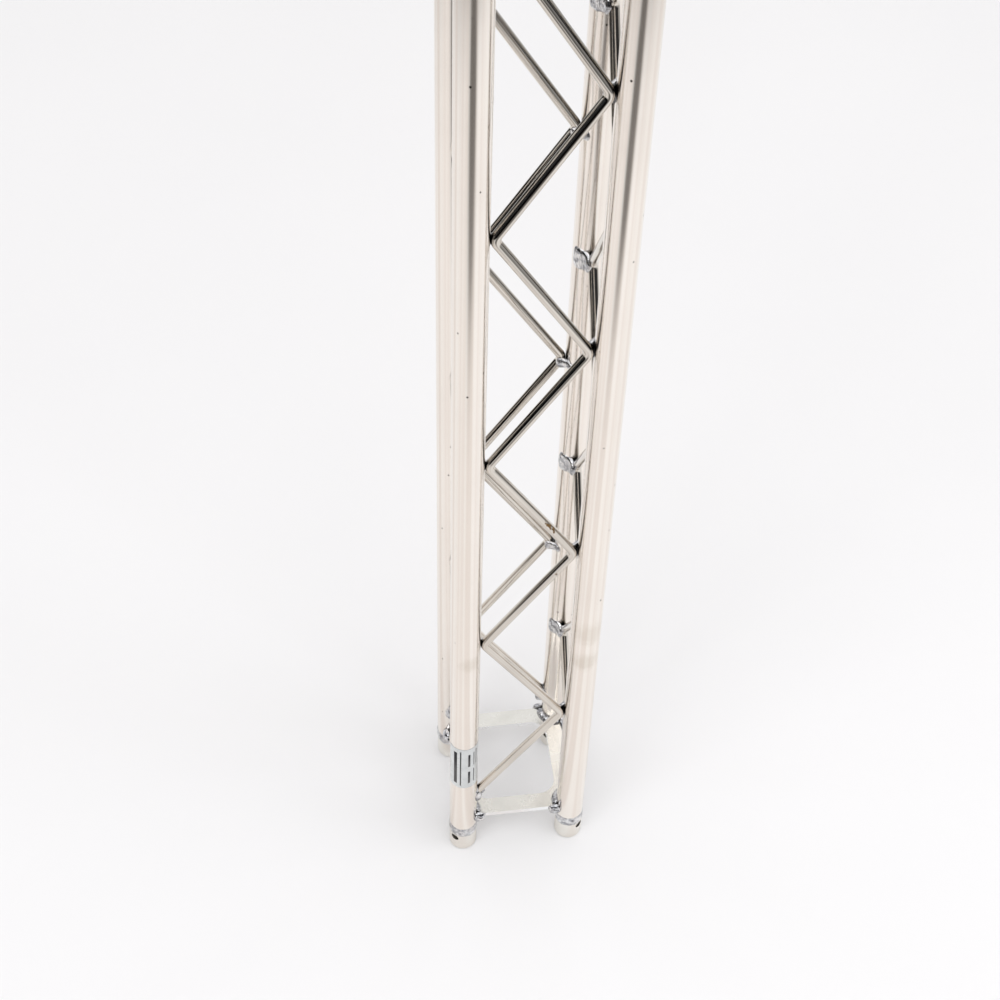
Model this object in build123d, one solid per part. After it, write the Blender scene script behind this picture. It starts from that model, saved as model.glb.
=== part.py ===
from build123d import *
import math
import os

# Welded aluminium lighting truss section, square, one metre long, standing on end.
# Units are millimetres. +Z runs along the truss, the origin is at the centre of the
# bottom end, and -Y is the front. The four side faces are alike: each is the front
# face turned about Z by a quarter turn.

# ---------------------------------------------------------------- driving dimensions
LENGTH = 1000.0               # overall, end face to end face
CHORD_SPACING = 80.0          # between neighbouring chord axes
CHORD_DIAMETER = 20.0
CHORD_WALL = 2.0

ROD_DIAMETER = 6.0            # solid round lacing rod
ROD_BEND_RADIUS = 7.0         # at the rod's centreline
ROD_CHORD_GAP = 0.05          # each bend stops this far short of the chord
END_NODE_HEIGHT = 72.5        # from an end face to the first lacing node
LACING_LEGS = 9               # straight legs in one face's rod

SHOULDER_HEIGHT = 20.0        # full-diameter part of a receiver, outside the chord
CHORD_END_HEIGHT = 28.0       # the chord tube starts here
SPIGOT_HEIGHT = 42.0          # top of the part of the receiver inside the chord
SPIGOT_SLIP = 0.1             # radial clearance of the spigot in the chord
END_CHAMFER = 0.8
SOCKET_MOUTH_RADIUS = 7.3     # conical socket, wide end
PILOT_RADIUS = 6.2            # straight bore behind the cone
PILOT_START = 20.0
PILOT_END = 27.0
PIN_HOLE_RADIUS = 3.2
PIN_HOLE_HEIGHT = 14.6        # from the end face to the pin hole's axis

PLATE_TOP = 39.0              # flat ring plate between the chords
PLATE_THICKNESS = 4.0
PLATE_OUTER_HALF = 43.0
PLATE_INNER_HALF = 31.0
PLATE_CORNER_RADIUS = 12.0

RING_WELD_START = 18.0        # foot of the weld ring on the receiver
RING_WELD_BULGE = 0.7         # how far the ring stands proud of the chord
LACING_WELD_RADIUS = 4.0      # bead section on the chord
LACING_WELD_DEPTH = 1.0       # how far the bead's centre lies inside the chord's surface
LACING_WELD_DROP = 1.5        # beads sit a little below their node
LONG_WELD_ARC = 70.0          # degrees of chord covered by a bead at a right-hand node
SHORT_WELD_ARC = 46.0         # and at a left-hand node
LONG_WELD_STRAIGHT = 9.0      # right-hand beads are this much taller than they are wide
LUMP_GROWTH = 1.1             # lump over the rod, against the bead's own radius
PLATE_WELD_LEG = 3.2
PLATE_WELD_TOE_RADIUS = 3.8   # the lump where a bar's outer edge meets the chord
PLATE_WELD_TOE_LENGTH = 4.0

LABEL_WIDTH = 28.0            # round the chord
LABEL_BOTTOM = 92.0
LABEL_TOP = 145.0
LABEL_THICKNESS = 0.15

# ---------------------------------------------------------------- derived dimensions
HALF = CHORD_SPACING / 2
CHORD_RADIUS = CHORD_DIAMETER / 2
CHORD_BORE_RADIUS = CHORD_RADIUS - CHORD_WALL
ROD_RADIUS = ROD_DIAMETER / 2
HALF_PITCH = (LENGTH - 2 * END_NODE_HEIGHT) / LACING_LEGS
SPIGOT_RADIUS = CHORD_BORE_RADIUS - SPIGOT_SLIP
BEND_APEX = HALF - CHORD_RADIUS - ROD_CHORD_GAP - ROD_RADIUS

CORNERS = {
    "front_left": (-HALF, -HALF),
    "front_right": (HALF, -HALF),
    "back_right": (HALF, HALF),
    "back_left": (-HALF, HALF),
}
FACES = {"front": 0, "right": 90, "back": 180, "left": 270}


def lacing_corner_offset():
    """Distance from the face's middle to the point where two straight legs would meet.

    The bend rounds that corner off, and its apex lies at BEND_APEX.
    """
    corner = BEND_APEX
    for _ in range(20):
        half_angle = math.atan2(corner * 2, HALF_PITCH)
        corner = BEND_APEX + ROD_BEND_RADIUS * (1 / math.sin(math.pi / 2 - half_angle) - 1)
    return corner


def upside_down(piece):
    """The same piece at the top end: a half turn about a level axis at mid length."""
    return Pos(0, 0, LENGTH) * Rot(180, 0, 0) * piece


def on_face(piece, face):
    """Turn a piece of the front face round to another face."""
    return Rot(0, 0, FACES[face]) * piece


# ---------------------------------------------------------------- chords
def chord_tube(corner):
    x, y = CORNERS[corner]
    height = LENGTH - 2 * CHORD_END_HEIGHT
    tube = Cylinder(CHORD_RADIUS, height) - Cylinder(CHORD_BORE_RADIUS, height)
    return Pos(x, y, LENGTH / 2) * tube


# ---------------------------------------------------------------- receivers
def receiver_blank():
    """Turned socket: full diameter outside the chord, spigot inside it, blind cone."""
    outline = Polyline(
        (SOCKET_MOUTH_RADIUS, 0),
        (CHORD_RADIUS - END_CHAMFER, 0),
        (CHORD_RADIUS, END_CHAMFER),
        (CHORD_RADIUS, SHOULDER_HEIGHT),
        (SPIGOT_RADIUS, SHOULDER_HEIGHT),
        (SPIGOT_RADIUS, SPIGOT_HEIGHT),
        (0, SPIGOT_HEIGHT),
        (0, PILOT_END),
        (PILOT_RADIUS, PILOT_END),
        (PILOT_RADIUS, PILOT_START),
        close=True,
    )
    return revolve(Plane.XZ * make_face(outline), Axis.Z)


def receiver(corner):
    """Bottom receiver, its cross pin hole on the diagonal that points out of the truss."""
    x, y = CORNERS[corner]
    outward = math.degrees(math.atan2(y, x))
    pin_hole = Rot(0, 90, 0) * Cylinder(PIN_HOLE_RADIUS, 3 * CHORD_RADIUS)
    blank = receiver_blank() - Pos(0, 0, PIN_HOLE_HEIGHT) * pin_hole
    return Pos(x, y, 0) * Rot(0, 0, outward) * blank


def receiver_weld(corner):
    """Ring of weld that fills the groove between a receiver's shoulder and the chord."""
    x, y = CORNERS[corner]
    middle = (RING_WELD_START + CHORD_END_HEIGHT) / 2
    inner = Polyline(
        (CHORD_RADIUS, CHORD_END_HEIGHT),
        (SPIGOT_RADIUS, CHORD_END_HEIGHT),
        (SPIGOT_RADIUS, SHOULDER_HEIGHT),
        (CHORD_RADIUS, SHOULDER_HEIGHT),
        (CHORD_RADIUS, RING_WELD_START),
    )
    crown = ThreePointArc(
        (CHORD_RADIUS, RING_WELD_START),
        (CHORD_RADIUS + RING_WELD_BULGE, middle),
        (CHORD_RADIUS, CHORD_END_HEIGHT),
    )
    section = Plane.XZ * make_face(Wire([*inner.edges(), *crown.edges()]))
    return Pos(x, y, 0) * revolve(section, Axis.Z)


# ---------------------------------------------------------------- end frames
def chord_cores(bottom, top):
    """Solid cylinders in the chords' places, used to cut neighbouring pieces."""
    core = Cylinder(CHORD_RADIUS, top - bottom, align=(Align.CENTER, Align.CENTER, Align.MIN))
    return [Pos(x, y, bottom) * core for x, y in CORNERS.values()]


def end_frame():
    """Flat square ring plate, notched round the chords, with rounded inner corners."""
    window = fillet(Rectangle(2 * PLATE_INNER_HALF, 2 * PLATE_INNER_HALF).vertices(), PLATE_CORNER_RADIUS)
    ring = Rectangle(2 * PLATE_OUTER_HALF, 2 * PLATE_OUTER_HALF) - window
    plate = Pos(0, 0, PLATE_TOP - PLATE_THICKNESS) * extrude(ring, PLATE_THICKNESS)
    for core in chord_cores(0, 2 * PLATE_TOP):
        plate -= core
    return plate


def end_frame_weld(plate):
    """Weld at the front right corner: a bead above and below the plate, and two toes."""
    leg = PLATE_WELD_LEG
    contact = math.degrees(math.asin((PLATE_OUTER_HALF - HALF) / CHORD_RADIUS))
    first, sweep_angle = 90 - contact, 90 + 2 * contact
    bead = None
    for level, up in ((PLATE_TOP, 1), (PLATE_TOP - PLATE_THICKNESS, -1)):
        section = Polyline(
            (CHORD_RADIUS - 1, level),
            (CHORD_RADIUS + leg, level),
            (CHORD_RADIUS + leg / 3, level + up * leg * 2 / 3),
            (CHORD_RADIUS - 1, level + up * leg),
            close=True,
        )
        fillet_bead = revolve(Plane.XZ * make_face(section), Axis.Z, sweep_angle)
        fillet_bead = Rot(0, 0, first) * fillet_bead
        bead = fillet_bead if bead is None else bead + fillet_bead
    middle = PLATE_TOP - PLATE_THICKNESS / 2
    toe = Sphere(PLATE_WELD_TOE_RADIUS) + Pos(-PLATE_WELD_TOE_LENGTH, 0, 0) * Sphere(PLATE_WELD_TOE_RADIUS)
    toe += Pos(-PLATE_WELD_TOE_LENGTH / 2, 0, 0) * Rot(0, 90, 0) * Cylinder(
        PLATE_WELD_TOE_RADIUS, PLATE_WELD_TOE_LENGTH)
    edge_offset = PLATE_OUTER_HALF - HALF - 1
    bead += Pos(-CHORD_RADIUS, -edge_offset, middle) * toe
    bead += Pos(edge_offset, CHORD_RADIUS, middle) * Rot(0, 0, -90) * toe
    bead = Pos(HALF, -HALF, 0) * bead
    for core in chord_cores(0, 2 * PLATE_TOP):
        bead -= core
    return bead - plate


def end_frame_welds():
    corner_weld = end_frame_weld(end_frame())
    return [solid for face in FACES for solid in on_face(corner_weld, face).solids()]


# ---------------------------------------------------------------- lacing
def lacing_rod():
    """Front face rod: one bent rod that zigzags up from the left chord to the right one."""
    corner = lacing_corner_offset()
    slope = HALF_PITCH / (2 * corner)
    points = []
    for node in range(LACING_LEGS + 1):
        side = 1 if node % 2 else -1
        points.append((side * corner, END_NODE_HEIGHT + node * HALF_PITCH))
    points[0] = (-HALF, points[0][1] - (HALF - corner) * slope)
    points[-1] = (HALF, points[-1][1] + (HALF - corner) * slope)
    path = FilletPolyline(*points, radius=ROD_BEND_RADIUS)
    path = Plane((0, -HALF, 0), x_dir=(1, 0, 0), z_dir=(0, -1, 0)) * path
    rod = sweep(Plane(path @ 0, z_dir=path % 0) * Circle(ROD_RADIUS), path)
    end_zone = END_NODE_HEIGHT + HALF_PITCH / 2
    cope = Cylinder(CHORD_RADIUS, end_zone, align=(Align.CENTER, Align.CENTER, Align.MIN))
    rod -= Pos(-HALF, -HALF, 0) * cope
    rod -= Pos(HALF, -HALF, LENGTH - end_zone) * cope
    return rod


def upright_capsule(radius, straight):
    if straight == 0:
        return Sphere(radius)
    ends = [Pos(0, 0, level) * Sphere(radius) for level in (-straight / 2, straight / 2)]
    return Cylinder(radius, straight) + ends


def uncut_bead(side, arc, straight):
    """Bead at height zero on the right (side 1) or left (side -1) chord of the front face.

    A lump lies over the rod's bend, and a finger runs from it round the chord towards the
    inside of the truss. Only the half behind the chords' plane is kept.
    """
    centre_radius = CHORD_RADIUS - LACING_WELD_DEPTH
    section = Circle(LACING_WELD_RADIUS)
    if straight:
        section = Rot(0, 0, 90) * SlotCenterToCenter(straight, LACING_WELD_RADIUS * 2)
    first, tip_angle = (180 - arc, 180 - arc) if side > 0 else (0, arc)
    finger = Rot(0, 0, first) * revolve(Plane.XZ * Pos(centre_radius, 0) * section, Axis.Z, arc)
    tip = Rot(0, 0, tip_angle) * Pos(centre_radius, 0, 0) * upright_capsule(LACING_WELD_RADIUS, straight)
    lump_radius = LACING_WELD_RADIUS * LUMP_GROWTH
    lump_place = Pos(-side * (CHORD_RADIUS + ROD_RADIUS / 2), ROD_RADIUS / 2, 0)
    bead = finger + tip + lump_place * upright_capsule(lump_radius, straight)
    inner_half = Box(6 * CHORD_RADIUS, 3 * CHORD_RADIUS, 6 * CHORD_RADIUS,
                     align=(Align.CENTER, Align.MIN, Align.CENTER))
    return Pos(side * HALF, -HALF, 0) * (bead & inner_half)


def cut_bead(bead, height, rod):
    """Set a bead at its height and take the chords and the rod out of it."""
    placed = Pos(0, 0, height) * bead
    reach = 6 * LACING_WELD_RADIUS
    for core in chord_cores(height - reach, height + reach):
        placed -= core
    placed -= rod
    return max(placed.solids(), key=lambda solid: solid.volume)


def lacing_welds(rod):
    """Front face beads, all on the side that faces into the truss."""
    long_bead = uncut_bead(1, LONG_WELD_ARC, LONG_WELD_STRAIGHT)
    short_bead = uncut_bead(-1, SHORT_WELD_ARC, 0)
    first_right = END_NODE_HEIGHT + HALF_PITCH - LACING_WELD_DROP
    first_left = first_right + HALF_PITCH
    right_bead = cut_bead(long_bead, first_right, rod)
    left_bead = cut_bead(short_bead, first_left, rod)
    welds = []
    for step in range(LACING_LEGS // 2):
        climb = Pos(0, 0, 2 * HALF_PITCH * step)
        welds += [climb * right_bead, climb * left_bead]
    end_bead = cut_bead(short_bead, END_NODE_HEIGHT - ROD_DIAMETER - LACING_WELD_DROP, rod)
    half_turn = Pos(0, 0, LENGTH) * Rot(0, 180, 0)
    return welds + [end_bead, half_turn * end_bead]


# ---------------------------------------------------------------- label
def label():
    """Thin plain sticker wrapped round the front of the front left chord."""
    x, y = CORNERS["front_left"]
    height = LABEL_TOP - LABEL_BOTTOM
    wrap = math.degrees(LABEL_WIDTH / CHORD_RADIUS)
    section = Pos(CHORD_RADIUS + LABEL_THICKNESS / 2, 0) * Rectangle(LABEL_THICKNESS, height)
    sheet = revolve(Plane.XZ * section, Axis.Z, wrap)
    middle = (LABEL_TOP + LABEL_BOTTOM) / 2
    return Pos(x, y, middle) * Rot(0, 0, -90 - wrap / 2) * sheet


# ---------------------------------------------------------------- assembly
def build_nodes():
    nodes = {}
    for corner in CORNERS:
        nodes["chord_" + corner] = chord_tube(corner)
        nodes["receiver_bottom_" + corner] = receiver(corner)
    # A half turn about the level X axis carries each bottom corner to the top corner
    # with the opposite Y.
    across = {"front_left": "back_left", "back_left": "front_left",
              "front_right": "back_right", "back_right": "front_right"}
    for corner, opposite in across.items():
        nodes["receiver_top_" + corner] = upside_down(receiver(opposite))

    nodes["end_frame_bottom"] = end_frame()
    nodes["end_frame_top"] = upside_down(end_frame())

    rod = lacing_rod()
    beads = Compound(lacing_welds(rod))
    for face in FACES:
        nodes["lacing_" + face] = on_face(rod, face)
        nodes["lacing_welds_" + face] = on_face(beads, face)

    ring_welds = Compound([solid for corner in CORNERS for solid in receiver_weld(corner).solids()])
    nodes["receiver_welds_bottom"] = ring_welds
    nodes["receiver_welds_top"] = upside_down(ring_welds)

    plate_welds = Compound(end_frame_welds())
    nodes["end_frame_welds_bottom"] = plate_welds
    nodes["end_frame_welds_top"] = upside_down(plate_welds)

    nodes["label"] = label()
    return nodes


os.makedirs("parts", exist_ok=True)
for name, piece in build_nodes().items():
    export_step(piece, f"parts/{name}.step")
    print(f"{name:32s} {len(piece.solids()):3d} solids {piece.volume:12.1f} mm3")
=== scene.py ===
import math
import random

import bmesh
import bpy
from mathutils import Matrix, Vector, noise


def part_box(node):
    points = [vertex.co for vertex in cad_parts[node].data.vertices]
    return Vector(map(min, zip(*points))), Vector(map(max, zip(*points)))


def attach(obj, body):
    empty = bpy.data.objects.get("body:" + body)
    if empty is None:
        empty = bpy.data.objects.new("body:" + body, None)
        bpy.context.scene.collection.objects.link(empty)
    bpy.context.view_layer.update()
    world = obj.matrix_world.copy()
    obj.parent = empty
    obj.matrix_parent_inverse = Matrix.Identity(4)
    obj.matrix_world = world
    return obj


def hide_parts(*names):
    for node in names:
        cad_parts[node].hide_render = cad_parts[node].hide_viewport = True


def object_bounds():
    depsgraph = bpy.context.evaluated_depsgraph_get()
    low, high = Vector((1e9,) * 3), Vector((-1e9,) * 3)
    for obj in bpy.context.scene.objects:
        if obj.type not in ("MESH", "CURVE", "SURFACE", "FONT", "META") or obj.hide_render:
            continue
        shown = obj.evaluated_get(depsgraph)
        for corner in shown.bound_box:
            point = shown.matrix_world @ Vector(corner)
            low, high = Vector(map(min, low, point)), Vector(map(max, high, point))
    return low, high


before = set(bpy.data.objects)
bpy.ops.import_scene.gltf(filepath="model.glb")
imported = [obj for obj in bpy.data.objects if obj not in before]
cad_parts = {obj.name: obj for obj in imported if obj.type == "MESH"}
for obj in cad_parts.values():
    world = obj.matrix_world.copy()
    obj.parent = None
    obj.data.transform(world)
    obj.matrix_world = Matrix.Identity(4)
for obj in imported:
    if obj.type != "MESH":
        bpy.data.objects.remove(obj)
cad_low, cad_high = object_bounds()
scene = bpy.context.scene

# The looks of a square welded aluminium truss section that stands on end. Metres, with +Z
# up the truss and -Y towards the front. A piece of the front face is turned about Z to make
# the same piece of the other three faces.
MM = 0.001
TOP = cad_high.z                                  # height of the top end faces

# Degrees from +X to the diagonal that points out of the truss at each chord, and from the
# front face to each face.
CORNER_TURNS = {"front_left": 225, "front_right": 315, "back_right": 45, "back_left": 135}
FACE_TURNS = {"front": 0, "right": 90, "back": 180, "left": 270}

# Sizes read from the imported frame, in metres.
chord_low, chord_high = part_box("chord_front_right")
CHORD_RADIUS = (chord_high.x - chord_low.x) / 2
CHORD_X = (chord_high.x + chord_low.x) / 2        # distance of each chord axis from the middle
CHORD_END = chord_low.z                           # the chord tube starts here
rod_low, rod_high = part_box("lacing_front")
ROD_RADIUS = (rod_high.y - rod_low.y) / 2
plate_low, plate_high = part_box("end_frame_bottom")
PLATE_BOTTOM, PLATE_TOP = plate_low.z, plate_high.z

# Lacing layout, the same as the frame's.
END_NODE = 72.5 * MM                              # from an end face to the first node
LEGS = 9                                          # straight legs in one face's rod
HALF_PITCH = (TOP - 2 * END_NODE) / LEGS
LACING_TUCK = 1.06 * MM                           # the legs' axes cross this much nearer the chord
LACING_CORNER = CHORD_X - CHORD_RADIUS - ROD_RADIUS + LACING_TUCK
LACING_SLOPE = HALF_PITCH / (2 * LACING_CORNER)
SHOULDER = 18.0 * MM                              # foot of the ring weld on the receiver


# ------------------------------------------------------------------ helpers
def corner_place(corner):
    """Matrix that carries a piece made round the Z axis to a chord at the bottom end.

    Local +X points out of the truss, on the diagonal.
    """
    x = CHORD_X if "right" in corner else -CHORD_X
    y = CHORD_X if "back" in corner else -CHORD_X
    return Matrix.Translation((x, y, 0)) @ Matrix.Rotation(math.radians(CORNER_TURNS[corner]), 4, "Z")


def half_turn(axis):
    """Matrix of a half turn about a level axis at mid height: it swaps the two ends."""
    return Matrix.Translation((0, 0, TOP)) @ Matrix.Rotation(math.pi, 4, axis)


def end_places(end):
    """A matrix for each chord that carries a piece to that end of it."""
    places = [corner_place(corner) for corner in CORNER_TURNS]
    return [half_turn("X") @ place for place in places] if end == "top" else places


def mesh_object(name, bm, material):
    """Turns a bmesh into an object in the scene."""
    mesh = bpy.data.meshes.new(name)
    bm.to_mesh(mesh)
    bm.free()
    mesh.materials.append(material)
    made = bpy.data.objects.new(name, mesh)
    scene.collection.objects.link(made)
    return made


def finish_piece(name, bm, material):
    """Turns a bmesh into a smooth-shaded piece that rides on the frame's one body."""
    bmesh.ops.recalc_face_normals(bm, faces=bm.faces)
    piece = mesh_object(name, bm, material)
    for polygon in piece.data.polygons:
        polygon.use_smooth = True
    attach(piece, "root")
    return piece


def add_skin(bm, rows, place=Matrix.Identity(4), closed=False):
    """Skins a list of loops of points, set in place. A closed skin is a ring without ends."""
    loops = [[bm.verts.new(place @ point) for point in row] for row in rows]
    count = len(loops[0])
    pairs = list(zip(loops, loops[1:]))
    if closed:
        pairs.append((loops[-1], loops[0]))
    for first, second in pairs:
        for i in range(count):
            j = (i + 1) % count
            bm.faces.new((first[i], first[j], second[j], second[i]))
    if not closed:
        bm.faces.new(list(reversed(loops[0])))
        bm.faces.new(loops[-1])


# ------------------------------------------------------------------ material nodes
class Nodes:
    """Short names for the few shader nodes that the materials below are made of."""

    def __init__(self, name):
        self.material = bpy.data.materials.new(name)
        self.material.use_nodes = True
        self.tree = self.material.node_tree
        self.shader = self.tree.nodes["Principled BSDF"]
        self.place = self.add("ShaderNodeTexCoord").outputs["Object"]

    def add(self, kind, **settings):
        node = self.tree.nodes.new(kind)
        for key, value in settings.items():
            setattr(node, key, value)
        return node

    def link(self, source, target):
        self.tree.links.new(source, target)

    def scaled(self, scale):
        mapping = self.add("ShaderNodeMapping")
        mapping.inputs["Scale"].default_value = scale
        self.link(self.place, mapping.inputs["Vector"])
        return mapping.outputs["Vector"]

    def part(self, vector, axis):
        """One of the X, Y and Z parts of a vector."""
        node = self.add("ShaderNodeSeparateXYZ")
        self.link(vector, node.inputs["Vector"])
        return node.outputs[axis]

    def distance_from(self, centre, vector):
        node = self.add("ShaderNodeVectorMath", operation="DISTANCE")
        self.link(vector, node.inputs[0])
        node.inputs[1].default_value = centre
        return node.outputs["Value"]

    def noise(self, scale, detail=2.0, roughness=0.5):
        """Noise with this many cells to the metre along each axis."""
        node = self.add("ShaderNodeTexNoise")
        node.inputs["Scale"].default_value = 1.0
        node.inputs["Detail"].default_value = detail
        node.inputs["Roughness"].default_value = roughness
        self.link(self.scaled(scale), node.inputs["Vector"])
        return node.outputs["Fac"]

    def spots(self, scale, size, share):
        """1 inside sparse round specks, 0 elsewhere. Only a share of the cells hold one."""
        cells = self.add("ShaderNodeTexVoronoi")
        cells.inputs["Scale"].default_value = 1.0
        self.link(self.scaled(scale), cells.inputs["Vector"])
        inside = self.ramp(cells.outputs["Distance"], ((size * 0.6, 1.0), (size, 0.0)))
        red = self.add("ShaderNodeSeparateColor")
        self.link(cells.outputs["Color"], red.inputs["Color"])
        chosen = self.math("LESS_THAN", red.outputs["Red"], share)
        return self.math("MULTIPLY", inside, chosen)

    def smudge(self, centre, radius):
        """0.9 at a place on the surface, fading out with an uneven edge."""
        uneven = self.math("MULTIPLY", self.noise((300, 300, 300), detail=3.0), radius * 0.9)
        distance = self.math("ADD", self.distance_from(centre, self.place), uneven)
        return self.ramp(self.math("DIVIDE", distance, radius * 2), ((0.45, 0.9), (0.80, 0.0)))

    def ramp(self, source, stops):
        """A ramp of grey values, or of colours where the stops hold three numbers."""
        node = self.add("ShaderNodeValToRGB")
        elements = node.color_ramp.elements
        while len(elements) < len(stops):
            elements.new(0.5)
        for element, (position, value) in zip(elements, stops):
            element.position = position
            grey = isinstance(value, (int, float))
            element.color = (value, value, value, 1) if grey else (*value, 1)
        self.link(source, node.inputs["Fac"])
        return node.outputs["Color"]

    def math(self, operation, first, second=0.0):
        node = self.add("ShaderNodeMath", operation=operation)
        for socket, value in zip(node.inputs, (first, second)):
            if isinstance(value, (int, float)):
                socket.default_value = value
            else:
                self.link(value, socket)
        return node.outputs["Value"]

    def spread(self, source, width, start):
        """Spreads a source that runs from 0 to 1 over a range that begins at start."""
        scaled = self.math("MULTIPLY_ADD", source, width)
        scaled.node.inputs[2].default_value = start
        return scaled

    def painted_crevice_shade(self, colour, reach=2.5 * MM, depth=0.9):
        """Painted shade: darkens a colour where another piece is close, where shade falls in a joint.
        """
        shade = self.add("ShaderNodeAmbientOcclusion", samples=6)
        shade.inputs["Distance"].default_value = reach
        crevice_shade_amount = self.ramp(shade.outputs["AO"], ((0.28, depth), (0.74, 0.0)))
        return self.mix(crevice_shade_amount, colour, (0.02, 0.018, 0.016))

    def mix(self, factor, first, second):
        node = self.add("ShaderNodeMix", data_type="RGBA")
        self.link(factor, node.inputs["Factor"])
        for name, value in (("A", first), ("B", second)):
            socket = [s for s in node.inputs if s.name == name and s.type == "RGBA"][0]
            if isinstance(value, tuple):
                socket.default_value = (*value, 1)
            else:
                self.link(value, socket)
        return [s for s in node.outputs if s.type == "RGBA"][0]

    def bump(self, height, strength, distance):
        node = self.add("ShaderNodeBump")
        node.inputs["Strength"].default_value = strength
        node.inputs["Distance"].default_value = distance
        self.link(height, node.inputs["Height"])
        self.link(node.outputs["Normal"], self.shader.inputs["Normal"])

    def set(self, name, value):
        self.shader.inputs[name].default_value = value

    def drive(self, name, source):
        self.link(source, self.shader.inputs[name])


# ------------------------------------------------------------------ materials
# Handling marks on the front chords: centre and radius in metres, and colour.
SMUDGES = (
    ((-0.0375, -0.0490, 0.2530), 0.0085, (0.78, 0.725, 0.66)),
    ((0.0392, -0.0490, 0.2430), 0.0105, (0.76, 0.705, 0.64)),
    ((0.0420, -0.0490, 0.2760), 0.0130, (0.79, 0.735, 0.67)),
)
# Colour of the painted shade along a ring weld's inner edge.
SEAM_SHADE_COLOUR = (0.03, 0.027, 0.025)
# Painted shade in the crevice along a ring weld's inner edge: height above the end face in mm, and
# strength.
SEAM_SHADE_BAND = ((30.8, 0.0), (30.1, 1.0), (28.6, 1.0), (27.2, 0.0))


def chord_material():
    """Drawn tube: satin, faint lines along its length, soft smudges and dark specks."""
    n = Nodes("drawn_tube")
    n.set("Metallic", 1.0)
    lines = n.noise((800, 800, 3), detail=2.0)
    broad_lines = n.noise((170, 170, 1.2), detail=1.0)
    clouds = n.noise((16, 16, 9), detail=4.0, roughness=0.6)
    colour = n.ramp(clouds, ((0.30, (0.87, 0.815, 0.765)), (0.60, (0.90, 0.85, 0.80))))
    colour = n.mix(n.ramp(broad_lines, ((0.40, 0.0), (0.75, 0.22))), colour, (0.80, 0.745, 0.68))
    for centre, radius, mark in SMUDGES:
        colour = n.mix(n.smudge(centre, radius), colour, mark)
    colour = n.mix(n.spots((190, 190, 120), 0.11, 0.05), colour, (0.10, 0.085, 0.075))
    colour = n.mix(n.spots((90, 90, 70), 0.070, 0.45), colour, (0.06, 0.05, 0.045))
    # Painted shade darkens the tube where another piece is close.
    n.drive("Base Color", n.painted_crevice_shade(colour))
    rough = n.math("ADD", n.spread(lines, 0.06, 0.12), n.ramp(clouds, ((0.35, 0.05), (0.6, 0.0))))
    n.drive("Roughness", rough)
    n.bump(lines, 0.05, 0.00004)
    return n.material


def rod_material():
    """Bright drawn rod: almost a mirror, with faint lines and a few brown or dark marks."""
    n = Nodes("bright_rod")
    n.set("Metallic", 1.0)
    clouds = n.noise((30, 30, 22), detail=3.0)
    colour = n.ramp(clouds, ((0.30, (0.62, 0.585, 0.54)), (0.70, (0.71, 0.675, 0.625))))
    colour = n.mix(n.spots((120, 120, 90), 0.12, 0.05), colour, (0.20, 0.15, 0.09))
    # Painted shade darkens the rod where another piece is close.
    n.drive("Base Color", n.painted_crevice_shade(colour))
    grain = n.noise((700, 700, 160), detail=3.0)
    n.drive("Roughness", n.spread(grain, 0.05, 0.035))
    n.bump(grain, 0.02, 0.00003)
    return n.material


def receiver_material():
    """Turned aluminium: fine rings round the axis."""
    n = Nodes("turned_receiver")
    n.set("Metallic", 1.0)
    rings = n.noise((20, 20, 2600), detail=2.0)
    clouds = n.noise((60, 60, 60), detail=3.0)
    colour = n.ramp(clouds, ((0.3, (0.80, 0.775, 0.73)), (0.7, (0.88, 0.86, 0.82))))
    n.drive("Base Color", colour)
    n.drive("Roughness", n.spread(rings, 0.10, 0.16))
    n.bump(rings, 0.12, 0.00006)
    return n.material


def plate_material():
    """Mill-finish plate: soft cloudy sheen, short scratches and a painted highlight on its upright
    cut edges.
    """
    n = Nodes("mill_plate")
    n.set("Metallic", 1.0)
    clouds = n.noise((70, 70, 70), detail=5.0, roughness=0.6)
    scratches = n.noise((90, 1400, 90), detail=2.0)
    colour = n.ramp(clouds, ((0.30, (0.83, 0.825, 0.785)), (0.7, (0.92, 0.915, 0.88))))
    # Painted highlight: faces that stand upright, the plate's cut edges, get a near-white colour.
    facing_up = n.part(n.add("ShaderNodeTexCoord").outputs["Normal"], "Z")
    edge = n.math("LESS_THAN", n.math("ABSOLUTE", facing_up), 0.5)
    colour = n.mix(edge, colour, (0.97, 0.98, 1.0))
    # Painted shade darkens the plate where another piece is close.
    n.drive("Base Color", n.painted_crevice_shade(colour))
    n.drive("Roughness", n.spread(clouds, 0.16, 0.18))
    n.bump(n.math("ADD", clouds, scratches), 0.15, 0.00010)
    return n.material


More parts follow.
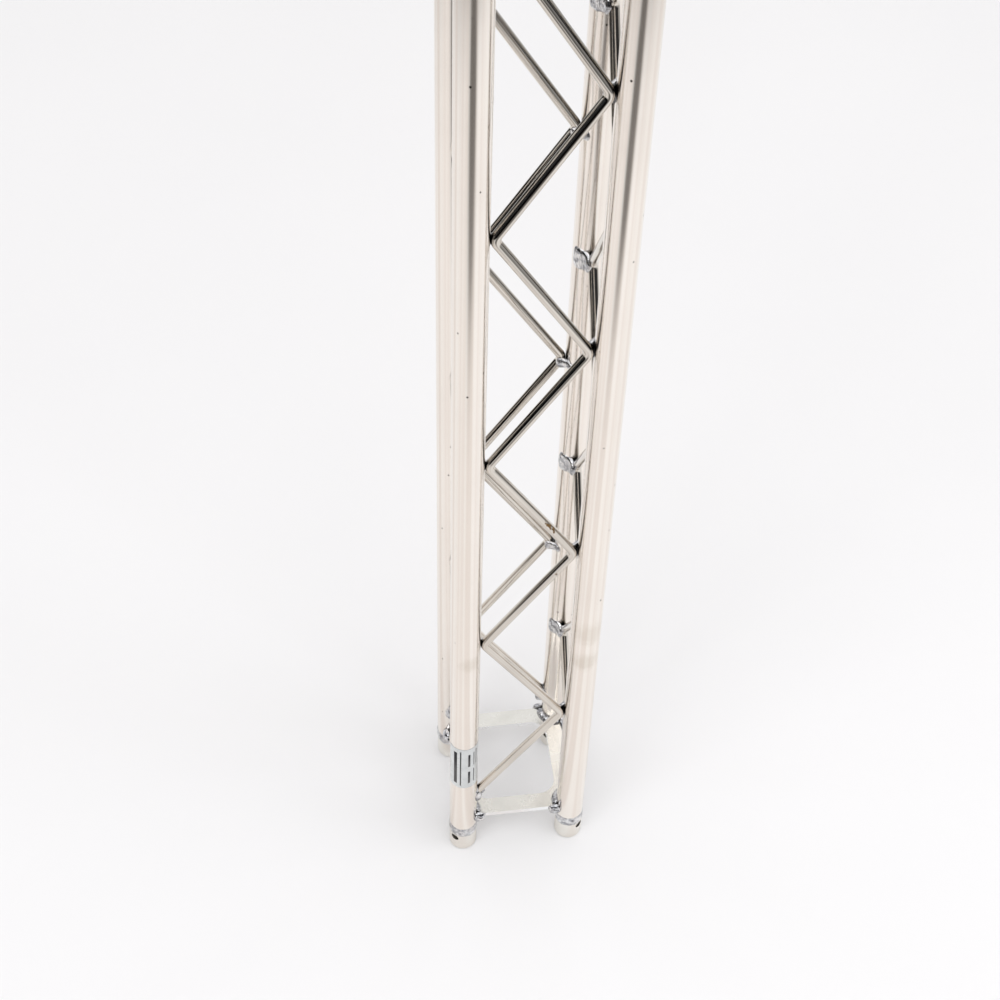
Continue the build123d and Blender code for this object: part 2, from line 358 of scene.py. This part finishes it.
def weld_material():
    """Weld metal: glossy, with grey and faintly blue patches, pits, and painted shade along its edges
    and where other pieces are close.
    """
    n = Nodes("weld_bead")
    n.set("Metallic", 1.0)
    clouds = n.noise((260, 260, 260), detail=4.0, roughness=0.65)
    colour = n.ramp(clouds, ((0.30, (0.13, 0.13, 0.14)), (0.45, (0.46, 0.47, 0.50)),
                             (0.64, (0.89, 0.89, 0.905))))
    colour = n.mix(n.spots((600, 600, 600), 0.24, 0.16), colour, (0.04, 0.035, 0.03))
    from_middle = n.math("ABSOLUTE", n.math("ADD", n.part(n.place, "Z"), -TOP / 2))
    seam_shade = n.ramp(from_middle, [(TOP / 2 - height * MM, strength) for height, strength in SEAM_SHADE_BAND])
    broken = n.ramp(n.noise((160, 160, 160), detail=2.0), ((0.42, 0.15), (0.55, 0.95)))
    # Painted shade: a broken dark band at this height above each end face, along the ring welds'
    # inner edges.
    colour = n.mix(n.math("MULTIPLY", seam_shade, broken), colour, SEAM_SHADE_COLOUR)
    # Painted shade darkens the bead where another piece is close.
    n.drive("Base Color", n.painted_crevice_shade(colour, 2.2 * MM, 0.95))
    n.drive("Roughness", n.spread(clouds, 0.14, 0.03))
    n.bump(n.noise((320, 320, 320), detail=3.0), 0.8, 0.0007)
    return n.material


def label_material():
    """Silver film sticker."""
    n = Nodes("silver_film")
    n.set("Metallic", 0.35)
    clouds = n.noise((120, 120, 120), detail=3.0)
    colour = n.ramp(clouds, ((0.3, (0.60, 0.625, 0.635)), (0.7, (0.70, 0.725, 0.735))))
    n.drive("Base Color", colour)
    n.drive("Roughness", n.spread(n.noise((900, 900, 900), detail=2.0), 0.10, 0.24))
    n.bump(clouds, 0.05, 0.0001)
    return n.material


def ink_material():
    """Dark print on the label, a little uneven."""
    n = Nodes("label_ink")
    colour = n.ramp(n.noise((2500, 2500, 2500), detail=2.0), ((0.35, (0.01, 0.01, 0.012)),
                                                               (0.75, (0.06, 0.06, 0.065))))
    n.drive("Base Color", colour)
    n.set("Roughness", 0.45)
    n.bump(n.noise((3000, 3000, 3000)), 0.05, 0.00005)
    return n.material


def residue_material():
    """Brown scorched flux residue."""
    n = Nodes("brown_residue")
    colour = n.ramp(n.noise((1800, 1800, 1800), detail=4.0), ((0.3, (0.05, 0.022, 0.006)),
                                                               (0.7, (0.30, 0.17, 0.05))))
    n.drive("Base Color", colour)
    n.set("Roughness", 0.7)
    n.bump(n.noise((2600, 2600, 2600)), 0.5, 0.0002)
    return n.material


def floor_material():
    n = Nodes("white_sweep")
    colour = n.ramp(n.noise((3, 3, 3), detail=3.0), ((0.3, (0.872, 0.872, 0.885)),
                                                     (0.7, (0.885, 0.885, 0.897))))
    n.drive("Base Color", colour)
    n.set("Roughness", 0.6)
    return n.material


CHORD = chord_material()
ROD = rod_material()
RECEIVER = receiver_material()
PLATE = plate_material()
WELD = weld_material()
FILM = label_material()
INK = ink_material()
RESIDUE = residue_material()


def paint_nodes():
    """Gives every carried-over CAD node its finish."""
    finishes = (("chord_", CHORD), ("lacing_", ROD), ("receiver_", RECEIVER), ("end_frame_", PLATE))
    for name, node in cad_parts.items():
        for start, material in finishes:
            if name.startswith(start) and "welds" not in name:
                node.data.materials.clear()
                node.data.materials.append(material)


# ------------------------------------------------------------------ weld beads
class Bead:
    """A rippled weld bead: a low ridge along a path on a metal surface.

    path(t) gives (point, outward normal, sideways direction) for t from 0 to 1, and
    half_width(t) and height(t) give the bead's size there.
    """

    RIPPLE = 1.5 * MM              # usual spacing of the ripples
    RIPPLE_DEPTH = 0.26 * MM
    RIPPLE_BOW = 0.9 * MM          # how far a ripple lags behind at the bead's edges
    STEPS_PER_RIPPLE = 6
    LEAST_STEPS = 16
    AROUND = 14                    # faces across the crown
    CROWN_POWER = 2.4              # 2 would be an ellipse: this is a little squarer
    WANDER_LENGTH = 3.5 * MM       # an open bead's edges wander over this length
    WANDER = 0.6 * MM              # by this much
    CLOSED_WANDER = 0.35 * MM      # and a closed bead's by this much
    CLOSED_RADIUS = 3.0            # of the circle that a closed bead's edge takes through the noise
    SEED_SPACING = 7.3             # keeps the wander of two open beads apart
    END_SHARE = 0.16               # each rounded end takes this share of the path
    END_HEIGHT = 0.35              # height left at the very end, as a share

    def __init__(self, path, length, half_width, height, seed, ripple=RIPPLE):
        self.path = path
        self.length = length
        self.half_width = half_width
        self.height = height
        self.seed = seed
        self.ripple = ripple
        self.steps = max(self.LEAST_STEPS, int(length / self.RIPPLE * self.STEPS_PER_RIPPLE))

    def open_edge(self, t):
        """How far an open bead's edges stray at this place, from -1 to 1."""
        along = t * self.length / self.WANDER_LENGTH
        return noise.noise(Vector((along, self.seed * self.SEED_SPACING, 0.0)))

    def closed_edge(self, t):
        """The same for a closed bead, so that its two ends meet."""
        turn = 2 * math.pi * t
        place = Vector((math.cos(turn), math.sin(turn), self.seed)) * self.CLOSED_RADIUS
        return noise.noise(place)

    def row(self, t, closed, sink):
        """Loop of points round the bead at one place: its crown, then its sunken foot."""
        point, normal, side = self.path(t)
        taper = 1.0 if closed else self.taper(t)
        if closed:
            edge = self.closed_edge(t) * self.CLOSED_WANDER
        else:
            edge = self.open_edge(t) * self.WANDER * taper
        half = self.half_width(t) * taper + edge
        tall = self.height(t) * (self.END_HEIGHT + (1 - self.END_HEIGHT) * taper)
        row = []
        for i in range(self.AROUND + 1):
            across = -1 + 2 * i / self.AROUND
            crown = math.sqrt(max(0.0, 1 - abs(across) ** self.CROWN_POWER))
            phase = (t * self.length + self.RIPPLE_BOW * across * across) / self.ripple
            saw = phase - math.floor(phase)
            # A ripple rises steeply and falls gently, from -0.5 to about 0.5.
            ripple = (saw ** 0.6) * (1 - saw) * 3.0 - 0.5
            lift = crown * (tall + ripple * self.RIPPLE_DEPTH * (1 - abs(across) ** 3) * taper)
            row.append(point + side * (across * half) + normal * lift)
        row.append(point + side * half - normal * sink)
        row.append(point - side * half - normal * sink)
        return row

    def rows(self, sink, closed=False):
        """All loops along the bead, its foot sunk this far into the metal."""
        count = self.steps if closed else self.steps + 1
        return [self.row(step / self.steps, closed, sink) for step in range(count)]

    def taper(self, t):
        """Rounded ends: near 0 at both ends of the path, 1 along the middle."""
        distance = min(t, 1 - t) / self.END_SHARE
        return 1.0 if distance >= 1 else math.sqrt(max(0.02, 1 - (1 - distance) ** 2))


def polyline_path(points, side):
    """Path through points in a level plane, and its length.

    The normal points to the right of travel, or to the left where side is -1.
    """
    rounding = 1e-12
    lengths = [0.0]
    for first, second in zip(points, points[1:]):
        lengths.append(lengths[-1] + (second - first).length)
    total = lengths[-1]

    def path(t):
        want = t * total
        last = len(lengths) - 1
        k = next((i for i in range(1, last + 1) if lengths[i] >= want - rounding), last)
        share = (want - lengths[k - 1]) / (lengths[k] - lengths[k - 1])
        point = points[k - 1].lerp(points[k], share)
        before = points[max(0, k - 2)]
        after = points[min(len(points) - 1, k + 1)]
        tangent = (after - before).normalized()
        normal = Vector((tangent.y, -tangent.x, 0)) * side
        return point, normal, Vector((0, 0, 1))

    return path, total


def smooth_points(corners, count):
    """Catmull-Rom curve through a list of points, cut into this many steps."""
    points = []
    knots = [corners[0] * 2 - corners[1], *corners, corners[-1] * 2 - corners[-2]]
    spans = len(corners) - 1
    rounding = 1e-9
    for i in range(count + 1):
        u = min(i / count * spans, spans - rounding)
        k = int(u)
        s = u - k
        a, b, c, d = knots[k:k + 4]
        points.append(0.5 * ((2 * b) + (c - a) * s + (2 * a - 5 * b + 4 * c - d) * s * s
                             + (3 * b - a - 3 * c + d) * s ** 3))
    return points


def lacing_bead(bm, side, arc, height, half_width, place, seed, drop=0.0, rise=1.0):
    """One bead at a node of the front face, built round the chord axis at the origin.

    side is 1 at the right chord, where the rod comes from -X, and -1 at the left chord.
    The bead starts on the rod and runs round the chord to arc degrees from the rod.
    """
    rod_x = -(CHORD_RADIUS + ROD_RADIUS)
    surface = CHORD_RADIUS - 0.1 * MM
    first_arc = 30                                # degrees from the rod where it meets the chord
    arc_steps = 4
    level = [
        Vector((rod_x - 2.2 * MM, 1.0 * MM, 0)),
        Vector((rod_x - 0.8 * MM, ROD_RADIUS - 0.2 * MM, 0)),
        Vector((rod_x + 1.8 * MM, ROD_RADIUS + 0.5 * MM, 0)),
    ]
    for step in range(arc_steps + 1):
        angle = math.radians(180 - first_arc - (arc - first_arc) * step / arc_steps)
        level.append(Vector((surface * math.cos(angle), surface * math.sin(angle), 0)))
    last = len(level) - 1
    level = [Vector((p.x * side, p.y, height - drop * i / last)) for i, p in enumerate(level)]
    path, total = polyline_path(smooth_points(level, 48), -side)
    bead = Bead(path, total, half_width, lambda t: rise * (1.9 - 0.7 * t) * MM, seed)
    add_skin(bm, bead.rows(1.4 * MM), place)


def end_collar(bm, place, seed):
    """Bead right round the front rod's lower end, fattest under the rod."""
    direction = Vector((1, 0, LACING_SLOPE)).normalized()
    below = Vector((direction.z, 0, -direction.x))
    front = Vector((0, -1, 0))
    fattest = math.radians(65)                    # from the front, towards the underside
    length = 26 * MM                              # right round the rod, about

    def path(t):
        turn = 2 * math.pi * t
        out = front * math.cos(turn) + below * math.sin(turn)
        depth = ROD_RADIUS * math.cos(turn)
        reach = math.sqrt(CHORD_RADIUS ** 2 - depth ** 2)
        axis_x = reach - CHORD_X - ROD_RADIUS * out.x
        axis_z = END_NODE + (axis_x + LACING_CORNER) * LACING_SLOPE
        point = Vector((axis_x, -CHORD_X, axis_z)) + out * ROD_RADIUS
        from_chord = Vector((reach, -depth, 0)) / CHORD_RADIUS
        normal = (from_chord + out + Vector((0.02, 0, 0))).normalized()
        forward = below * math.cos(turn) - front * math.sin(turn)
        return point, normal, forward.cross(normal).normalized()

    def swell(t):
        return max(0.0, math.cos(2 * math.pi * t - fattest)) ** 0.8

    bead = Bead(path, length, lambda t: (2.2 + 3.3 * swell(t)) * MM,
                lambda t: (0.7 + 2.6 * swell(t)) * MM, seed)
    add_skin(bm, bead.rows(0.5 * MM, closed=True), place, closed=True)


def long_width(t):
    """Half width of a right-hand bead, which widens on its way round the chord."""
    return (4.2 + 4.3 * math.sin(math.pi / 2 * min(1, t * 1.5)) ** 1.2) * MM


def short_width(t):
    """Half width of a left-hand or end bead, which narrows a little."""
    return (4.2 - 0.9 * t) * MM


def lacing_welds(face):
    """All beads of one face, each a little different from the next."""
    long_arc, short_arc = 76, 52                  # degrees of chord from the rod
    below_node = 1.5 * MM
    end_bead = END_NODE - 7.5 * MM
    rng = random.Random(11 + FACE_TURNS[face])
    bm = bmesh.new()
    turn = Matrix.Rotation(math.radians(FACE_TURNS[face]), 4, "Z")
    right = turn @ Matrix.Translation((CHORD_X, -CHORD_X, 0))
    left = turn @ Matrix.Translation((-CHORD_X, -CHORD_X, 0))
    # Odd nodes are on the right chord. The first and the last node have end beads, made below.
    for node in range(1, LEGS):
        height = END_NODE + node * HALF_PITCH - below_node + rng.uniform(-0.8, 0.8) * MM
        grow = rng.uniform(0.9, 1.1)
        seed = rng.random()
        if node % 2:
            drop = rng.uniform(-1, 1) * MM
            lacing_bead(bm, 1, long_arc * grow, height, long_width, right, seed, drop, grow)
        else:
            drop = rng.uniform(0, 2) * MM
            lacing_bead(bm, -1, short_arc * grow, height, short_width, left, seed, drop, grow)
    lacing_bead(bm, -1, short_arc, end_bead, short_width, left, rng.random())
    lacing_bead(bm, 1, short_arc, TOP - end_bead, short_width, right, rng.random())
    end_collar(bm, turn, rng.random())
    end_collar(bm, turn @ half_turn("Y"), rng.random())
    piece = finish_piece(f"weld_beads_{face}", bm, WELD)
    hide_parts(f"lacing_welds_{face}")


def ring_bead(bm, place, seed):
    """Bead that fills the groove between a chord and its receiver."""
    overlap = 2.2 * MM                            # the bead laps on to the chord tube
    height = 0.80 * MM
    ripples = 26                                  # round the chord
    middle = (SHOULDER + CHORD_END + overlap) / 2
    half = (CHORD_END + overlap - SHOULDER) / 2
    radius = CHORD_RADIUS - 0.35 * MM

    def path(t):
        angle = 2 * math.pi * t
        out = Vector((math.cos(angle), math.sin(angle), 0))
        return out * radius + Vector((0, 0, middle)), out, Vector((0, 0, 1))

    length = 2 * math.pi * radius
    bead = Bead(path, length, lambda t: half, lambda t: height, seed, ripple=length / ripples)
    add_skin(bm, bead.rows(1.6 * MM, closed=True), place, closed=True)


def receiver_welds(end):
    bm = bmesh.new()
    first_seed = 0.7 if end == "top" else 0.2
    for index, place in enumerate(end_places(end)):
        ring_bead(bm, place, index * 3.1 + first_seed)
    piece = finish_piece(f"ring_welds_{end}", bm, WELD)
    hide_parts(f"receiver_welds_{end}")


def frame_bead(bm, place, level, up, seed):
    """Bead along the arc where a face of the plate meets a chord. up is 1 or -1."""
    radius = CHORD_RADIUS + 1.0 * MM
    off_plate = 0.4 * MM
    half_width, height = 3.5 * MM, 2.0 * MM
    reach = math.radians(56)                      # to each side of the diagonal

    def path(t):
        angle = math.pi - reach + 2 * reach * t
        out = Vector((math.cos(angle), math.sin(angle), 0))
        centre = out * radius + Vector((0, 0, level + up * off_plate))
        normal = (out + Vector((0, 0, up))).normalized()
        side = (out - Vector((0, 0, up))).normalized()
        return centre, normal, side

    bead = Bead(path, 2 * reach * radius, lambda t: half_width, lambda t: height, seed)
    add_skin(bm, bead.rows(0.9 * MM), place)


def frame_toe(bm, place, hand, seed):
    """Fat bead that wraps the end of a bar, from one face over its outer edge to the other.

    hand is 1 for the bar on one side of the diagonal and -1 for its mirror image.
    """
    to_bar = 45                                   # degrees from the inward diagonal to the bar
    to_edge = 17                                  # and on to the bar's outer edge
    length, half_width, height = 12 * MM, 4.6 * MM, 2.3 * MM
    along_bar = 1.8 * MM                          # from the chord to the bead's middle
    bulge, start, inset = 2.8 * MM, 0.6 * MM, 1.3 * MM
    middle = (PLATE_BOTTOM + PLATE_TOP) / 2
    swing = (PLATE_TOP - PLATE_BOTTOM) / 2 + 0.9 * MM
    edge_angle = math.radians(180 + to_bar + to_edge)
    base = Vector((math.cos(edge_angle), math.sin(edge_angle), 0)) * CHORD_RADIUS
    slant = math.radians(to_bar)
    along = Vector((-math.sin(slant), -math.cos(slant), 0))
    outward = Vector((-along.y, along.x, 0))

    def path(t):
        sweep = math.pi * (0.02 + 0.96 * t)
        reach = bulge * math.sin(sweep) + start
        lift = middle + swing * math.cos(sweep)
        centre = base + along * along_bar + outward * (reach - inset) + Vector((0, 0, lift))
        normal = (outward * math.sin(sweep) + Vector((0, 0, math.cos(sweep)))).normalized()
        return centre, normal, along

    bead = Bead(path, length, lambda t: half_width, lambda t: height, seed)
    mirror = Matrix.Diagonal((1, hand, 1, 1))
    add_skin(bm, bead.rows(0.9 * MM), place @ mirror)


def end_frame_welds(end):
    bm = bmesh.new()
    first_seed = 5.1 if end == "top" else 0.4
    for index, place in enumerate(end_places(end)):
        seed = index * 2.3 + first_seed
        frame_bead(bm, place, PLATE_TOP, 1, seed)
        frame_bead(bm, place, PLATE_BOTTOM, -1, seed + 0.5)
        frame_toe(bm, place, 1, seed + 0.9)
        frame_toe(bm, place, -1, seed + 1.3)
    piece = finish_piece(f"plate_welds_{end}", bm, WELD)
    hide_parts(f"end_frame_welds_{end}")


# ------------------------------------------------------------------ label
LABEL_WIDTH = 28 * MM              # round the chord
LABEL_CORNER = 1.6 * MM
FILM_GAP = 0.01 * MM               # between the chord and the film
FILM_THICKNESS = 0.12 * MM
INK_THICKNESS = 0.02 * MM
# Plain bars: middle and breadth in mm round the chord, foot and top as shares of the height.
LABEL_BARS = (
    (-7.6, 2.6, 0.10, 0.90), (-3.6, 0.9, 0.06, 0.94),
    (2.6, 1.6, 0.12, 0.42), (2.6, 1.6, 0.55, 0.86),
    (6.4, 0.7, 0.12, 0.46), (6.4, 0.7, 0.55, 0.88), (8.6, 0.7, 0.55, 0.92),
)


def wrapped_patch(bm, width, bottom, top, centre, lift, thickness, corner=0.0, segments=24):
    """Sheet wrapped round the front left chord. width and centre run round the chord."""
    surface = CHORD_RADIUS + lift
    rows = []
    heights = [bottom, top]
    if corner:
        arcs = [corner * (1 - math.cos(math.radians(a))) for a in (0, 22, 45, 67, 90)]
        heights = sorted({*[bottom + a for a in arcs], *[top - a for a in arcs]})
    for z in heights:
        near = min(z - bottom, top - z)
        inset = 0.0
        if near < corner:
            inset = corner - math.sqrt(max(0.0, corner ** 2 - (corner - near) ** 2))
        half = width / 2 - inset
        outer, inner = [], []
        for i in range(segments + 1):
            angle = -math.pi / 2 + (centre - half + 2 * half * i / segments) / CHORD_RADIUS
            out = Vector((math.cos(angle), math.sin(angle), 0))
            outer.append(Vector((-CHORD_X, -CHORD_X, z)) + out * (surface + thickness))
            inner.append(Vector((-CHORD_X, -CHORD_X, z)) + out * surface)
        rows.append(outer + inner[::-1])
    add_skin(bm, rows)


def label():
    """Plain silver sticker with plain printed bars in place of any lettering."""
    low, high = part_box("label")
    bm = bmesh.new()
    wrapped_patch(bm, LABEL_WIDTH, low.z, high.z, 0, FILM_GAP, FILM_THICKNESS,
                  corner=LABEL_CORNER, segments=48)
    film = finish_piece("label_film", bm, FILM)
    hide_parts("label")

    bm = bmesh.new()
    length = high.z - low.z
    for centre, breadth, foot, top in LABEL_BARS:
        wrapped_patch(bm, breadth * MM, low.z + length * foot, low.z + length * top,
                      centre * MM, FILM_GAP + FILM_THICKNESS, INK_THICKNESS, segments=6)
    print_piece = finish_piece("label_print", bm, INK)


# ------------------------------------------------------------------ small marks
def residue_mark():
    """Brown scorch on the leg that rises from the front rod's second right-hand bend."""
    crumbs = 26
    along_leg, along_scatter = 34.4, 3.4          # mm up the leg from its foot
    round_rod, round_scatter = 35, 9              # degrees up from the front of the rod
    smallest, largest = 0.25, 0.85                # mm
    flatness = (1.0, 1.5, 0.16, 1)                # a crumb's shape, flat against the rod
    bm = bmesh.new()
    rng = random.Random(5)
    foot = Vector((LACING_CORNER, -CHORD_X, END_NODE + 3 * HALF_PITCH))
    direction = Vector((-1, 0, LACING_SLOPE)).normalized()
    front = Vector((0, -1, 0))
    up = direction.cross(front).normalized()
    for _ in range(crumbs):
        along = rng.gauss(along_leg, along_scatter) * MM
        angle = math.radians(rng.gauss(round_rod, round_scatter))
        normal = up * math.sin(angle) + front * math.cos(angle)
        centre = foot + direction * along + normal * ROD_RADIUS
        size = rng.uniform(smallest, largest) * MM
        crumb = bmesh.ops.create_icosphere(bm, subdivisions=2, radius=size)
        spin = normal.to_track_quat("Z", "Y").to_matrix().to_4x4()
        shape = Matrix.Translation(centre) @ spin @ Matrix.Diagonal(flatness)
        bmesh.ops.transform(bm, matrix=shape, verts=crumb["verts"])
    piece = finish_piece("scorch_residue", bm, RESIDUE)


# ------------------------------------------------------------------ stage
# The shade of whoever stands in front of the truss, as the metal mirrors it.
VIEWER_PLACE = (-0.15, -0.80, 0.0)
VIEWER_SHAPE = (1.0, 0.9, 1.0)     # 0.9 makes it a little longer from front to back
VIEWER_SHADE = ((0.20, 0.82), (0.245, 0.62), (0.275, 0.38), (0.33, 0.18), (0.42, 0.0))

# Brightness of the room beyond the sweep, all the way round from -X through the front.
ROOM_ROUND = ((0.0, 0.004), (0.235, 0.004), (0.33, 0.10), (0.42, 0.36),
              (0.62, 0.50), (0.80, 0.45), (0.86, 0.06), (0.91, 0.004))
SWEEP_EDGE = ((0.50, 1.0), (0.61, 0.72), (0.70, 0.0))
SWEEP_SCALE = 2.0                  # the ramp above covers this many metres from the middle

WALL_TURNS = range(90, 241, 30)    # degrees about Z from +Y
WALL_WIDTH, WALL_HEIGHT, WALL_AWAY = 1.7, 2.0, 3.1


def flat_sheet(name, half_side, height, material):
    bm = bmesh.new()
    bmesh.ops.create_grid(bm, x_segments=2, y_segments=2, size=half_side)
    sheet = mesh_object(name, bm, material)
    sheet.location.z = height
    return sheet


def only_mirrored(thing):
    """Leaves an object to be seen by the metal's reflections and nothing else."""
    thing.visible_camera = False
    thing.visible_diffuse = False
    thing.visible_shadow = False


def room_material():
    """What the metal mirrors: a white sweep with a grey room beyond it that is dark on the
    front left, and the shade of whoever stands in front of the truss."""
    n = Nodes("reflected_room")
    around = n.add("ShaderNodeVectorMath", operation="LENGTH")
    n.link(n.place, around.inputs[0])
    uneven = n.math("MULTIPLY", n.noise((2.5, 2.5, 2.5)), 0.25)
    distance = n.math("ADD", around.outputs["Value"], uneven)
    sweep = n.ramp(n.math("DIVIDE", distance, SWEEP_SCALE), SWEEP_EDGE)
    angle = n.math("ARCTAN2", n.part(n.place, "Y"), n.part(n.place, "X"))
    turn = n.math("ADD", n.math("DIVIDE", angle, 2 * math.pi), 0.5)
    beyond = n.ramp(turn, ROOM_ROUND)
    heading = n.add("ShaderNodeVectorMath", operation="NORMALIZE")
    n.link(n.place, heading.inputs[0])
    patches = n.add("ShaderNodeTexNoise")
    patches.inputs["Scale"].default_value = 2.6
    patches.inputs["Detail"].default_value = 1.0
    n.link(heading.outputs["Vector"], patches.inputs["Vector"])
    paper = n.ramp(patches.outputs["Fac"], ((0.38, (0.81, 0.775, 0.755)), (0.58, (0.91, 0.91, 0.91))))
    colour = n.mix(sweep, beyond, paper)
    shade = n.ramp(n.distance_from(VIEWER_PLACE, n.scaled(VIEWER_SHAPE)), VIEWER_SHADE)
    n.drive("Base Color", n.mix(shade, colour, (0.03, 0.027, 0.022)))
    n.set("Roughness", 1.0)
    n.set("Specular IOR Level", 0.0)
    return n.material


def wall_material():
    n = Nodes("dark_wall")
    n.drive("Base Color", n.ramp(n.noise((1.5, 1.5, 1.5)), ((0.35, (0.01, 0.01, 0.011)),
                                                            (0.65, (0.035, 0.035, 0.038)))))
    n.set("Roughness", 0.9)
    return n.material


def room_wall(turn, material):
    """One of the dark walls in front of the truss, seen only in the metal's reflections."""
    half = WALL_WIDTH / 2
    corners = ((-half, 0), (half, 0), (half, WALL_HEIGHT), (-half, WALL_HEIGHT))
    bm = bmesh.new()
    bm.faces.new([bm.verts.new((x, WALL_AWAY, z)) for x, z in corners])
    wall = mesh_object("room_wall", bm, material)
    wall.rotation_euler.z = math.radians(turn)
    only_mirrored(wall)


def stage():
    """Floor for the camera and the light, and a stand-in room for the reflections."""
    floor = flat_sheet("floor", 6.0, -0.0002, floor_material())
    floor.visible_glossy = False
    only_mirrored(flat_sheet("reflected_room", 9.0, -0.0001, room_material()))
    material = wall_material()
    for turn in WALL_TURNS:
        room_wall(turn, material)


# ------------------------------------------------------------------ lights and camera
WORLD_COLOUR = (1.0, 0.985, 0.975)
WORLD_STRENGTH = 0.86
LAMP_COLOUR = (0.975, 0.985, 1.0)
# Name, place, what it is aimed at, side in metres and power in watts.
LAMPS = (
    ("key_left", (-1.6, -1.4, 2.4), (0, 0, 0.3), 1.2, 11),
    ("fill_right", (2.2, -0.6, 2.2), (0, 0, 0.3), 1.6, 13),
    ("front_top", (0.1, -1.0, 3.1), (0, 0, 0), 1.6, 13),
)
CAMERA_PLACE = (-0.1403, -0.8078, 1.4393)
CAMERA_TURN_RIGHT = 8.889          # degrees
CAMERA_LOOK_DOWN = 52.715
CAMERA_ROLL = 1.925
SENSOR_WIDTH = 36                  # mm
LENS_LENGTH = 76.7


def area_light(name, place, target, side, power):
    data = bpy.data.lights.new(name, "AREA")
    data.shape = "RECTANGLE"
    data.size = data.size_y = side
    data.energy = power
    data.color = LAMP_COLOUR
    lamp = bpy.data.objects.new(name, data)
    lamp.location = place
    direction = Vector(target) - Vector(place)
    lamp.rotation_mode = "QUATERNION"
    lamp.rotation_quaternion = direction.to_track_quat("-Z", "Y")
    scene.collection.objects.link(lamp)


def lights():
    world = bpy.data.worlds.new("studio")
    scene.world = world
    world.use_nodes = True
    background = world.node_tree.nodes["Background"]
    background.inputs["Color"].default_value = (*WORLD_COLOUR, 1)
    background.inputs["Strength"].default_value = WORLD_STRENGTH
    for lamp in LAMPS:
        area_light(*lamp)


def camera():
    """Seen from above, in front and a little to the left, with a short telephoto lens."""
    data = bpy.data.cameras.new("camera")
    data.sensor_width = SENSOR_WIDTH
    data.lens = LENS_LENGTH
    lens = bpy.data.objects.new("camera", data)
    lens.location = CAMERA_PLACE
    lens.rotation_euler = (
        Matrix.Rotation(-math.radians(CAMERA_TURN_RIGHT), 3, "Z")
        @ Matrix.Rotation(math.pi / 2 - math.radians(CAMERA_LOOK_DOWN), 3, "X")
        @ Matrix.Rotation(math.radians(CAMERA_ROLL), 3, "Z")
    ).to_euler()
    scene.collection.objects.link(lens)
    scene.camera = lens


# ------------------------------------------------------------------ build
scene.view_settings.view_transform = "Standard"
paint_nodes()
for face in FACE_TURNS:
    lacing_welds(face)
for end in ("bottom", "top"):
    receiver_welds(end)
    end_frame_welds(end)
label()
residue_mark()
stage()
lights()
camera()
